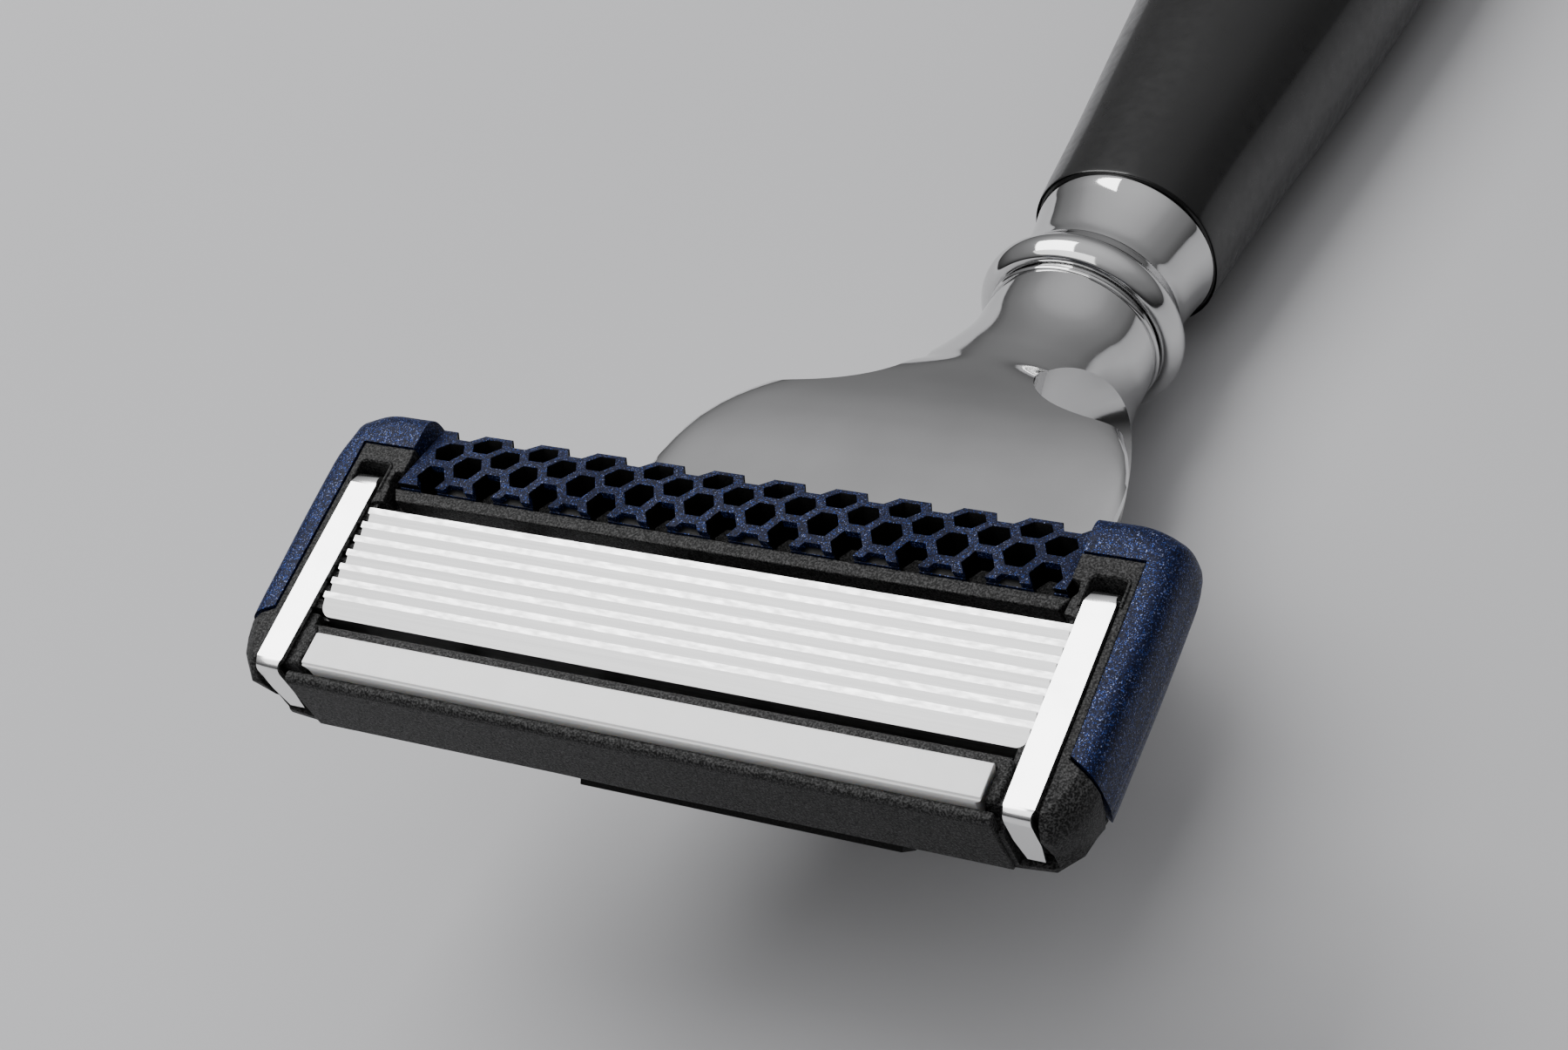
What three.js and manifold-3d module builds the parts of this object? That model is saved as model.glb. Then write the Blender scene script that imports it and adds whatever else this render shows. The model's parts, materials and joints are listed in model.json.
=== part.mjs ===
// Cartridge razor with a seven blade head, a chromed neck and a black lacquered handle.
//
// The razor lies face up on the flat land under its handle: +X runs along the blades, +Y from the
// head to the end of the handle, +Z up. The origin is under the middle of its box, on the surface
// that it lies on. Millimetres.
//
// The head is modelled in a face frame of its own: u along the blades (x), v from the lubricating
// strip to the guard (y) and n out of the shaving face (z). HEAD_TILT turns it into the razor's frame.
import * as THREE from 'three';
import { mergeVertices } from 'three/addons/utils/BufferGeometryUtils.js';
import Module from 'manifold-3d';

const wasm = await Module();
wasm.setup();

// ---------------------------------------------------------------- driving dimensions
const GAP = 0.05;                 // between pieces that touch
const RUNNING = 0.05;             // radial clearance of a shaft in its bore
const PRESS = 0.02;               // radial clearance of a pin that is pressed in
const FAR = 30;                   // half size of a cutter that reaches past everything
const HEAD_TILT = THREE.MathUtils.degToRad(12);

// cartridge, in the face frame
const HOUSING_HALF = 19.5;        // half width of the black frame between the side trims
const HOUSING_TOP = -0.1;         // face of the side pads
const HOUSING_BACK = -4.0;
const CAP_EDGE = -5.75;           // front wall under the lubricating strip
const GUARD_EDGE = 8.3;           // rear wall behind the rubber guard
const WINDOW_HALF = 17.15;
const WINDOW_V = [-2.45, 4.2];
const RIB_U = [-11.2, -3.7, 3.7, 11.2];
const RIB_HALF = 0.4;

const BLADE_COUNT = 7;
const BLADE_PITCH = 0.767;
const BLADE_FIRST_V = 3.45;       // edge of the blade nearest the guard
const BLADE_HALF = 17.05;
const BLADE_TILT = THREE.MathUtils.degToRad(21);
const BLADE_WIDTH = 1.15;
const BLADE_THICK = 0.1;
const BLADE_BEVEL = 0.28;
const SUPPORT_HALF = 18.2;
const SUPPORT_THICK = 0.16;
const SUPPORT_FOOT_N = -3.2;

const CLIP_U = 18.3;
const CLIP_WIDTH = 1.44;
const CLIP_THICK = 0.25;
const CHANNEL_HALF = 0.82;        // half width of the channel that a clip lies in
const CHANNEL_FLOOR = -0.3;

const STRIP_HALF = 16.5;
const STRIP_V = [-5.1, -3.37];
const STRIP_TOP = 0.3;
const STRIP_FLOOR = -1.2;

const GUARD_HALF = 16.1;
const GUARD_V = [4.95, 8.6];
const GUARD_FLOOR = -2.4;
const GUARD_BREAK_V = 6.45;       // where its face starts to fall away
const GUARD_FALL = THREE.MathUtils.degToRad(20);
const HEX_PITCH = 2.95;           // along one row of cells
const HEX_WALL = 0.37;
const HEX_FIRST_V = 5.4;
const HEX_ROWS = [11, 10, 11, 10];

const TRIM_HALF = 21.0;
const TRIM_TOP_V = 8.6;
const TRIM_INNER_V = 6.95;
const TRIM_END_V = -2.6;
const TRIM_INNER_U = 16.3;        // where its top corners end beside the guard

// pivot and neck: the pivot in the face frame, the rest in the razor's directions about the face's centre
const PIVOT_V = 5.8;
const PIVOT_N = -5.5;
const PIN_R = 0.7;
const PIN_U = [6.5, 10.0];
const LUG_U = [8.4, 9.8];
const LUG_R = 1.5;
const ARM_U = [6.8, 8.2];
const ARM_R = 1.3;

const PLUNGER_TILT = THREE.MathUtils.degToRad(30);
const PLUNGER_R = 1.1;
const PLUNGER_LENGTH = 7.0;
const PLUNGER_BORE_LENGTH = 10.6;
const CAM_GAP = 0.28;             // lets the plunger follow the cam at a constant ratio
const PLUNGER_CONTACT = [-1.0, -2.6];   // its tip, y and z from the pivot
const PLUNGER_SPRING = { radius: 0.85, wire: 0.12, turns: 4 };
const CAM_REACH = 0.75;           // half length of the cam's face

const SCOOP_FRONT = 7.2;
const BOSS_FRONT = 9.0;
const TONGUE_HALF = 4.5;
const TONGUE_Y = 3.4;
const TONGUE_Z = [-13.0, -9.4];
const CRADLE_HALF = 8.35;

const AXIS_Z = -15.85;            // handle axis below the face's centre
const NECK_END = 37.9;
const RING_Y = [37.95, 41.2];
const FERRULE_Y = [41.25, 45.7];
const HANDLE_Y = [45.75, 130.8];
const CAP_Y = [130.9, 138.6];
const LAND_DROP = 5.9;            // flat land below the handle axis, just clear of the bead ring
const ROD_R = 1.6;
const ROD_Y = [30.3, 135.2];
const CORE_R = 4.2;               // bore of the handle
const PLUG_Y = [48, 56];
const WEIGHT_Y = [70, 127];
const NUT_Y = [131.2, 133.6];
const NUT_R = 2.9;

const BUTTON_Y = [19.0, 26.0];
const BUTTON_HALF = 3.3;
const BUTTON_Z = [-19.6, -13.2];
const BUTTON_SPRING = { radius: 0.7, wire: 0.12, turns: 6 };
const BUTTON_SPRING_DEPTH = 3.6;  // how far its spring reaches into it
const BUTTON_SPRING_Z = -16;
const POCKET_Y = [16.5, 26.3];
const POCKET_HALF = 3.45;
const POCKET_TOP = -13.0;
const EJECTOR_U = 2.5;
const EJECTOR_R = 0.6;
const EJECTOR_Z = -13.95;

// ---------------------------------------------------------------- materials
function material(color, roughness, metalness) {
  return new THREE.MeshStandardMaterial({ color, roughness, metalness });
}

const blackPlastic = () => material(0x151515, 0.6, 0.0);
const blueRubber = () => material(0x14204a, 0.5, 0.2);
const whiteStrip = () => material(0xf2f2f0, 0.4, 0.0);
const bladeSteel = () => material(0xd4d4d2, 0.25, 1.0);
const clipSteel = () => material(0xeeeeee, 0.15, 1.0);
const chrome = () => material(0xb8b8b8, 0.1, 1.0);
const blackLacquer = () => material(0x080808, 0.15, 0.0);
const springSteel = () => material(0x9a9a98, 0.3, 1.0);
const brassWeight = () => material(0xb08d4a, 0.4, 1.0);
const sealRubber = () => material(0x1b1b1b, 0.8, 0.0);

// ---------------------------------------------------------------- closed solids and booleans
function weld(geometry) {
  const bare = geometry.index ? geometry.toNonIndexed() : geometry.clone();
  bare.deleteAttribute('normal');
  bare.deleteAttribute('uv');
  return mergeVertices(bare, 1e-5);
}

function solid(geometry) {
  const welded = weld(geometry);
  const position = welded.getAttribute('position');
  const index = welded.index.array;
  const triangles = [];
  for (let i = 0; i < index.length; i += 3) {
    const [a, b, c] = [index[i], index[i + 1], index[i + 2]];
    if (a !== b && b !== c && c !== a) triangles.push(a, b, c);
  }
  const vertProperties = new Float32Array(position.array);
  let body = new wasm.Manifold(new wasm.Mesh({
    numProp: 3, vertProperties, triVerts: new Uint32Array(triangles),
  }));
  if (body.volume() < 0) {
    const flipped = new Uint32Array(triangles).reverse();
    body = new wasm.Manifold(new wasm.Mesh({ numProp: 3, vertProperties, triVerts: flipped }));
  }
  return body;
}

function fuse(bodies) {
  return bodies.reduce((sum, body) => sum.add(body));
}

function cut(body, tools) {
  return tools.reduce((rest, tool) => rest.subtract(tool), body);
}

function geometryOf(body) {
  const mesh = body.getMesh();
  const geometry = new THREE.BufferGeometry();
  geometry.setAttribute('position', new THREE.BufferAttribute(mesh.vertProperties, 3));
  geometry.setIndex(new THREE.BufferAttribute(mesh.triVerts, 1));
  geometry.computeVertexNormals();
  return geometry;
}

function part(name, body, look) {
  const mesh = new THREE.Mesh(geometryOf(body), look);
  mesh.name = name;
  return mesh;
}

// ---------------------------------------------------------------- simple shapes
function block([x0, x1], [y0, y1], [z0, z1]) {
  const geometry = new THREE.BoxGeometry(x1 - x0, y1 - y0, z1 - z0);
  geometry.translate((x0 + x1) / 2, (y0 + y1) / 2, (z0 + z1) / 2);
  return solid(geometry);
}

function outline(points) {
  return new THREE.Shape(points.map(([x, y]) => new THREE.Vector2(x, y)));
}

function straightExtrude(shape, depth) {
  return new THREE.ExtrudeGeometry(shape, { depth, bevelEnabled: false });
}

// an outline in x and y, raised from z0 to z1
function plate(points, [z0, z1]) {
  const geometry = straightExtrude(outline(points), z1 - z0);
  geometry.translate(0, 0, z0);
  return solid(geometry);
}

// an outline in y and z, drawn out from x0 to x1
function profile(points, [x0, x1]) {
  const geometry = straightExtrude(outline(points), x1 - x0);
  geometry.rotateY(Math.PI / 2);
  geometry.rotateX(Math.PI / 2);
  geometry.translate(x0, 0, 0);
  return solid(geometry);
}

// a round bar along x
function barX(radius, [x0, x1], y, z, segments = 24) {
  const geometry = new THREE.CylinderGeometry(radius, radius, x1 - x0, segments);
  geometry.rotateZ(Math.PI / 2);
  geometry.translate((x0 + x1) / 2, y, z);
  return solid(geometry);
}

// a round bar along y
function barY(radius, [y0, y1], x, z, segments = 24) {
  const geometry = new THREE.CylinderGeometry(radius, radius, y1 - y0, segments);
  geometry.translate(x, (y0 + y1) / 2, z);
  return solid(geometry);
}

// a turned body about the line x = 0, z = AXIS_Z, from [y, radius] pairs
function turned(pairs, segments = 40) {
  const ends = [new THREE.Vector2(0, pairs[0][0]), new THREE.Vector2(0, pairs.at(-1)[0])];
  const rim = pairs.map(([y, radius]) => new THREE.Vector2(radius, y));
  const geometry = new THREE.LatheGeometry([ends[0], ...rim, ends[1]], segments);
  geometry.translate(0, 0, AXIS_Z);
  return solid(geometry);
}

// [y, half width, top, bottom] stations joined by a smooth curve
function smoothStations(stations, perSpan) {
  const widths = stations.map(([y, half]) => new THREE.Vector3(y, half, 0));
  const heights = stations.map(([y, , top, bottom]) => new THREE.Vector3(y, top, bottom));
  const widthCurve = new THREE.CatmullRomCurve3(widths, false, 'catmullrom', 0.5);
  const heightCurve = new THREE.CatmullRomCurve3(heights, false, 'catmullrom', 0.5);
  const steps = (stations.length - 1) * perSpan;
  return Array.from({ length: steps + 1 }, (_, i) => {
    const width = widthCurve.getPoint(i / steps);
    const height = heightCurve.getPoint(i / steps);
    return { y: width.x, half: width.y, top: height.y, bottom: height.z };
  });
}

// a unit circle's coordinate moved out towards the corner of its square
function squarer(value, power) {
  return Math.abs(value) < 1e-9 ? 0 : Math.sign(value) * Math.abs(value) ** power;
}

// a body with rounded sections: squareness 2 is an ellipse, more is boxier, and keel is the share
// of its width that is left at the bottom
function lofted(stations, { perSpan = 2, segments = 40, squareness = () => 2, keel = () => 1 } = {}) {
  const rings = smoothStations(stations, perSpan);
  const rim = rings.map(({ y }) => new THREE.Vector2(1, y));
  const foot = new THREE.Vector2(0, rings[0].y);
  const head = new THREE.Vector2(0, rings.at(-1).y);
  const geometry = new THREE.LatheGeometry([foot, ...rim, head], segments);
  const position = geometry.getAttribute('position');
  const perColumn = rings.length + 2;
  for (let i = 0; i < position.count; i += 1) {
    const row = THREE.MathUtils.clamp((i % perColumn) - 1, 0, rings.length - 1);
    const ring = rings[row];
    const power = 2 / squareness(ring.y);
    const middle = (ring.top + ring.bottom) / 2;
    const tall = (ring.top - ring.bottom) / 2;
    const up = squarer(position.getZ(i), power);
    const narrowing = THREE.MathUtils.lerp(keel(ring.y), 1, (up + 1) / 2);
    position.setX(i, squarer(position.getX(i), power) * ring.half * narrowing);
    position.setZ(i, middle + up * tall);
  }
  return solid(geometry);
}

// a coil spring along y, centred on x = 0, z = 0
function coil({ radius, wire, turns }, length) {
  const Helix = class extends THREE.Curve {
    getPoint(t, target = new THREE.Vector3()) {
      const angle = 2 * Math.PI * turns * t;
      return target.set(radius * Math.cos(angle), wire + (length - 2 * wire) * t, radius * Math.sin(angle));
    }
  };
  const ring = new THREE.Shape().absarc(0, 0, wire, 0, 2 * Math.PI);
  return new THREE.ExtrudeGeometry(ring, {
    extrudePath: new Helix(), steps: turns * 10, curveSegments: 2, bevelEnabled: false,
  });
}

const bothSides = (make) => [make(1), make(-1)];
const span = (side, [a, b]) => (side > 0 ? [a, b] : [-b, -a]);

// ---------------------------------------------------------------- cartridge, in the face frame
const bladeEdge = (k) => BLADE_FIRST_V - k * BLADE_PITCH;

// along the blade from its edge, and out of its flat side
function bladePoint(edge, along, out) {
  const v = edge - along * Math.cos(BLADE_TILT) - out * Math.sin(BLADE_TILT);
  const n = -along * Math.sin(BLADE_TILT) + out * Math.cos(BLADE_TILT);
  return [v, n];
}

function blade(k) {
  const edge = bladeEdge(k);
  const half = BLADE_THICK / 2;
  const section = [
    bladePoint(edge, 0, 0),
    bladePoint(edge, BLADE_BEVEL, half),
    bladePoint(edge, BLADE_WIDTH, half),
    bladePoint(edge, BLADE_WIDTH, -half),
    bladePoint(edge, BLADE_BEVEL, -half),
  ];
  return part(`blade_${k + 1}`, profile(section, [-BLADE_HALF, BLADE_HALF]), bladeSteel());
}

// v of the upright leg that carries blade k
const supportLeg = (k) => bladeEdge(k) - 0.9;

function bladeSupport(k) {
  const edge = bladeEdge(k);
  const under = -BLADE_THICK / 2 - 0.03;
  const leg = supportLeg(k);
  const [footV, footN] = bladePoint(edge, 0.5, under);
  const [heelV, heelN] = bladePoint(edge, 1.05, under);
  const section = [
    [footV, footN],
    [heelV, heelN],
    [leg - SUPPORT_THICK / 2, heelN - 0.1],
    [leg - SUPPORT_THICK / 2, SUPPORT_FOOT_N],
    [leg + SUPPORT_THICK / 2, SUPPORT_FOOT_N],
    [leg + SUPPORT_THICK / 2, footN - 0.25],
    [footV + 0.04, footN - 0.12],
  ];
  const body = profile(section, [-BLADE_HALF, BLADE_HALF]);
  const tails = block(
    [-SUPPORT_HALF, SUPPORT_HALF],
    [leg - SUPPORT_THICK / 2, leg + SUPPORT_THICK / 2],
    [SUPPORT_FOOT_N, -0.95],
  );
  return part(`blade_support_${k + 1}`, body.add(tails), springSteel());
}

function housingOutline() {
  const half = [
    [17.2, CAP_EDGE + 0.15], [19.0, CAP_EDGE + 0.3], [19.85, -4.5], [20.25, TRIM_END_V - 0.15],
    [HOUSING_HALF, TRIM_END_V - 0.05], [HOUSING_HALF, TRIM_INNER_V - 0.05], [16.2, TRIM_INNER_V - 0.05],
    [16.2, GUARD_EDGE],
  ];
  const mirrored = half.map(([u, v]) => [-u, v]).reverse();
  return [[0, CAP_EDGE], ...half, ...mirrored];
}

function clipChannels() {
  return bothSides((side) => {
    const lane = [CLIP_U - CHANNEL_HALF, CLIP_U + CHANNEL_HALF];
    const top = block(span(side, lane), [CAP_EDGE - 1, 5.9], [CHANNEL_FLOOR, 1]);
    const slot = block(span(side, lane), [4.45, 5.9], [HOUSING_BACK - 1, 1]);
    const heel = block(span(side, lane), [4.75, 7.0], [HOUSING_BACK - 1, HOUSING_BACK + 0.35]);
    const front = block(span(side, lane), [CAP_EDGE - 1, -4.85], [-3.75, 1]);
    return fuse([top, slot, heel, front]);
  });
}

function bladeSlots() {
  const slots = [];
  for (let k = 0; k < BLADE_COUNT; k += 1) {
    const leg = supportLeg(k);
    bothSides((side) => slots.push(block(
      span(side, [WINDOW_HALF - 0.1, SUPPORT_HALF + 0.15]),
      [leg - 0.16, leg + 0.16],
      [SUPPORT_FOOT_N - 0.05, 1],
    )));
  }
  return slots;
}

function pivotLug(side) {
  const round = barX(LUG_R, span(side, LUG_U), PIVOT_V, PIVOT_N);
  const root = block(span(side, LUG_U), [PIVOT_V - LUG_R, PIVOT_V + LUG_R], [PIVOT_N, HOUSING_BACK + 0.5]);
  return round.add(root);
}

// the cam that the plunger pushes on, under the middle of the housing
function camTooth() {
  const [tipV, tipN] = toFace(plungerTip(-CAM_GAP));
  const slope = PLUNGER_TILT - HEAD_TILT;
  const low = [tipV - CAM_REACH * Math.sin(slope), tipN - CAM_REACH * Math.cos(slope)];
  const high = [tipV + CAM_REACH * Math.sin(slope), tipN + CAM_REACH * Math.cos(slope)];
  const root = HOUSING_BACK + 0.5;
  const rearFace = 1.9;
  const section = [
    low, high, [high[0], root], [rearFace, root], [rearFace, -5.2], [low[0] - 1.0, low[1]],
  ];
  return profile(section, [-PLUNGER_R, PLUNGER_R]);
}

// cross ribs that stiffen the window under the blades
function windowRibs() {
  const along = [WINDOW_V[0] - 0.2, WINDOW_V[1] + 0.2];
  return RIB_U.map((u) => block([u - RIB_HALF, u + RIB_HALF], along, [HOUSING_BACK, -3.35]));
}

function housing() {
  const rear = block([-16.2, 16.2], [4.25, GUARD_EDGE], [GUARD_FLOOR - GAP, 1]);
  const body = plate(housingOutline(), [HOUSING_BACK, HOUSING_TOP]);
  const guardBar = block([-16.4, 16.4], [4.2, 4.85], [GUARD_FLOOR - GAP, -0.35]);
  const window = block([-WINDOW_HALF, WINDOW_HALF], WINDOW_V, [HOUSING_BACK - 1, 1]);
  const strip = block(
    [-STRIP_HALF - GAP, STRIP_HALF + GAP],
    [STRIP_V[0] - GAP, STRIP_V[1] + GAP],
    [STRIP_FLOOR - GAP, 1],
  );
  const shell = cut(body, [rear, window, strip, ...clipChannels(), ...bladeSlots()]);
  const lugs = bothSides(pivotLug);
  const bores = bothSides((side) => barX(PIN_R + RUNNING, span(side, PIN_U), PIVOT_V, PIVOT_N));
  const whole = fuse([shell, guardBar, ...windowRibs(), ...lugs, camTooth()]);
  return part('housing', cut(whole, bores), blackPlastic());
}

function clip(side) {
  const top = 0.05;
  const under = top - CLIP_THICK;
  const back = HOUSING_BACK - 0.02;
  const section = [
    [-4.95, top], [4.55, top], [5.15, top - 0.3], [5.4, top - 0.9], [5.4, back + 0.2],
    [6.75, back + 0.2], [6.75, back - 0.05], [5.15, back - 0.05], [5.15, top - 1.0],
    [4.95, under - 0.25], [4.5, under], [-4.9, under],
    [-5.2, under - 0.3], [-5.2, -3.35], [-5.45, -3.35], [-5.45, top - 0.45], [-5.3, top - 0.15],
  ];
  const u = side * CLIP_U;
  const name = side > 0 ? 'right_clip' : 'left_clip';
  return part(name, profile(section, [u - CLIP_WIDTH / 2, u + CLIP_WIDTH / 2]), clipSteel());
}

function lubricatingStrip() {
  const [v0, v1] = STRIP_V;
  const section = [
    [v0, STRIP_FLOOR], [v1, STRIP_FLOOR], [v1, STRIP_TOP - 0.1], [v1 - 0.1, STRIP_TOP],
    [v0 + 0.35, STRIP_TOP - 0.02], [v0, STRIP_TOP - 0.35],
  ];
  return part('lubricating_strip', profile(section, [-STRIP_HALF, STRIP_HALF]), whiteStrip());
}

// the rim's outline where it is widest, the open end of the C included
function trimOutline() {
  const half = [
    [20.3, TRIM_END_V - 3], [20.75, 0], [TRIM_HALF, 4.0], [TRIM_HALF, 7.0],
    [20.5, 8.3], [19.4, TRIM_TOP_V + 0.25], [12, TRIM_TOP_V + 0.25],
  ];
  return [...half, ...half.map(([u, v]) => [-u, v]).reverse()];
}

// a convex flank: the outline draws in towards the face and the back
function trimFlank() {
  const rise = 2.3;
  const drawIn = 0.9;
  const depth = 0.3;
  const geometry = new THREE.ExtrudeGeometry(outline(trimOutline()), {
    depth,
    bevelEnabled: true,
    bevelThickness: rise,
    bevelSize: drawIn,
    bevelOffset: -drawIn,
    bevelSegments: 4,
  });
  geometry.translate(0, 0, -depth - rise - 0.02);
  return solid(geometry);
}

function blueTrim() {
  const inner = block([-HOUSING_HALF - GAP, HOUSING_HALF + GAP], [-FAR, TRIM_INNER_V], [-FAR, FAR]);
  const middle = block([-TRIM_INNER_U, TRIM_INNER_U], [TRIM_INNER_V - 1, FAR], [-FAR, FAR]);
  const below = block([-FAR, FAR], [-FAR, TRIM_END_V], [-FAR, FAR]);
  const flush = block([-FAR, FAR], [-FAR, FAR], [-FAR, HOUSING_BACK - 0.3]);
  const arms = cut(trimFlank(), [inner, middle, below, flush]);
  const bridge = block(
    [-TRIM_INNER_U - 0.5, TRIM_INNER_U + 0.5],
    [GUARD_EDGE + GAP, TRIM_TOP_V - 0.05],
    [-3.6, GUARD_FLOOR - 0.1],
  );
  return part('blue_trim', arms.add(bridge), blueRubber());
}

// a cell of the guard with its corners along u
function cell(u, v, radius, [n0, n1]) {
  const corners = Array.from({ length: 6 }, (_, i) => {
    const angle = (i * Math.PI) / 3;
    return [u + radius * Math.cos(angle), v + radius * Math.sin(angle)];
  });
  return plate(corners, [n0, n1]);
}

function guardCells(pitchV, radius) {
  const cells = [];
  HEX_ROWS.forEach((count, row) => {
    for (let i = 0; i < count; i += 1) {
      const u = (i - (count - 1) / 2) * HEX_PITCH;
      cells.push(cell(u, HEX_FIRST_V + row * pitchV, radius, [GUARD_FLOOR - 1, 1]));
    }
  });
  return cells;
}

function honeycombGuard() {
  const [v0, v1] = GUARD_V;
  const drop = Math.tan(GUARD_FALL) * (v1 - GUARD_BREAK_V);
  const section = [
    [v0, GUARD_FLOOR], [GUARD_EDGE, GUARD_FLOOR], [v1, -drop - 0.5], [v1, -drop], [GUARD_BREAK_V, 0], [v0, 0],
  ];
  const side = HEX_PITCH / 3;
  const pitchV = side * Math.sin(Math.PI / 3);
  const radius = side - HEX_WALL / 2 / Math.cos(Math.PI / 6);
  const body = profile(section, [-GUARD_HALF, GUARD_HALF]);
  return part('honeycomb_guard', cut(body, guardCells(pitchV, radius)), blueRubber());
}

// ---------------------------------------------------------------- between the two frames
function toRazor([v, n]) {
  const [c, s] = [Math.cos(HEAD_TILT), Math.sin(HEAD_TILT)];
  return [v * c - n * s, v * s + n * c];
}

function toFace([y, z]) {
  const [c, s] = [Math.cos(HEAD_TILT), Math.sin(HEAD_TILT)];
  return [y * c + z * s, -y * s + z * c];
}

const PIVOT = toRazor([PIVOT_V, PIVOT_N]);

// a point on the plunger's axis, counted from its tip into the neck
function plungerTip(along) {
  const y = PIVOT[0] + PLUNGER_CONTACT[0] + along * Math.cos(PLUNGER_TILT);
  const z = PIVOT[1] + PLUNGER_CONTACT[1] - along * Math.sin(PLUNGER_TILT);
  return [y, z];
}

function alongPlunger(geometry, along) {
  const [y, z] = plungerTip(along);
  geometry.rotateX(-PLUNGER_TILT);
  geometry.translate(0, y, z);
  return geometry;
}

// ---------------------------------------------------------------- cradle, plunger and button
function cradle() {
  const section = [
    [0, -12.0], [2.6, -8.6], [6.9, -8.6], [6.9, -14.8], [3.4, -14.0], [1.0, -13.0],
  ];
  const body = profile(section, [-CRADLE_HALF, CRADLE_HALF]);
  const arms = bothSides((side) => {
    const round = barX(ARM_R, span(side, ARM_U), ...PIVOT);
    const leg = [[PIVOT[0] - ARM_R, PIVOT[1]], [5.3, -9], [6.9, -9], [6.9, PIVOT[1]]];
    return round.add(profile(leg, span(side, ARM_U)));
  });
  const bores = bothSides((side) => barX(PIN_R + PRESS, span(side, [ARM_U[0] - 1, ARM_U[1] + 1]), ...PIVOT));
  const socket = block(
    [-TONGUE_HALF - RUNNING * 2, TONGUE_HALF + RUNNING * 2],
    [TONGUE_Y - 0.2, 8],
    [TONGUE_Z[0] - RUNNING * 2, TONGUE_Z[1] + RUNNING * 2],
  );
  const camRoom = block([-1.6, 1.6], [-2, 8], [TONGUE_Z[1], -8]);
  return part('cradle', cut(fuse([body, ...arms]), [...bores, socket, camRoom]), blackPlastic());
}

function pivotPin(side) {
  const name = side > 0 ? 'right_pivot_pin' : 'left_pivot_pin';
  return part(name, barX(PIN_R, span(side, PIN_U), ...PIVOT), springSteel());
}

function plunger() {
  const dome = Array.from({ length: 5 }, (_, i) => {
    const angle = (i * Math.PI) / 8;
    return new THREE.Vector2(PLUNGER_R * Math.sin(angle), 0.6 * (1 - Math.cos(angle)));
  });
  const tail = [new THREE.Vector2(PLUNGER_R, PLUNGER_LENGTH), new THREE.Vector2(0, PLUNGER_LENGTH)];
  const geometry = new THREE.LatheGeometry([...dome, ...tail], 24);
  return part('return_plunger', solid(alongPlunger(geometry, 0)), blackPlastic());
}

function plungerSpring() {
  const length = PLUNGER_BORE_LENGTH - PLUNGER_LENGTH - GAP * 2;
  const geometry = coil(PLUNGER_SPRING, length);
  return part('plunger_spring', solid(alongPlunger(geometry, PLUNGER_LENGTH + GAP)), springSteel());
}

function releaseButton() {
  const body = lofted([
    [BUTTON_Y[0], BUTTON_HALF - 0.4, BUTTON_Z[1], -17.2],
    [BUTTON_Y[0] + 1, BUTTON_HALF, BUTTON_Z[1], -18.2],
    [(BUTTON_Y[0] + BUTTON_Y[1]) / 2, BUTTON_HALF, BUTTON_Z[1], -19.2],
    [BUTTON_Y[1] - 1, BUTTON_HALF, BUTTON_Z[1], BUTTON_Z[0]],
    [BUTTON_Y[1], BUTTON_HALF - 0.4, BUTTON_Z[1], BUTTON_Z[0] + 0.6],
  ], { perSpan: 1, segments: 28, squareness: () => 6 });
  const rodY = [SCOOP_FRONT + 0.1, BUTTON_Y[0] + 1];
  const rods = bothSides((side) => barY(EJECTOR_R, rodY, side * EJECTOR_U, EJECTOR_Z, 16));
  const ridges = [2, 3.4, 4.8].map((back) => {
    const y = BUTTON_Y[0] + back;
    return block([-2.4, 2.4], [y, y + 0.5], [BUTTON_Z[0] - 0.2, -18]);
  });
  const springHole = barY(0.95, [BUTTON_Y[0] - 1, BUTTON_Y[0] + BUTTON_SPRING_DEPTH], 0, BUTTON_SPRING_Z);
  return part('release_button', cut(fuse([body, ...rods, ...ridges]), [springHole]), blackPlastic());
}

function buttonSpring() {
  const length = BUTTON_Y[0] + BUTTON_SPRING_DEPTH - POCKET_Y[0] - GAP * 2;
  const geometry = coil(BUTTON_SPRING, length);
  geometry.translate(0, POCKET_Y[0] + GAP, BUTTON_SPRING_Z);
  return part('button_spring', solid(geometry), springSteel());
}

// ---------------------------------------------------------------- neck and handle
// the plunger's bore, closed at its far end and open in front of the tip
function openBore() {
  const ahead = 5;
  const radius = PLUNGER_R + RUNNING;
  const bore = new THREE.CylinderGeometry(radius, radius, PLUNGER_BORE_LENGTH + ahead, 24);
  bore.translate(0, (PLUNGER_BORE_LENGTH - ahead) / 2, 0);
  return bore;
}

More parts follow.
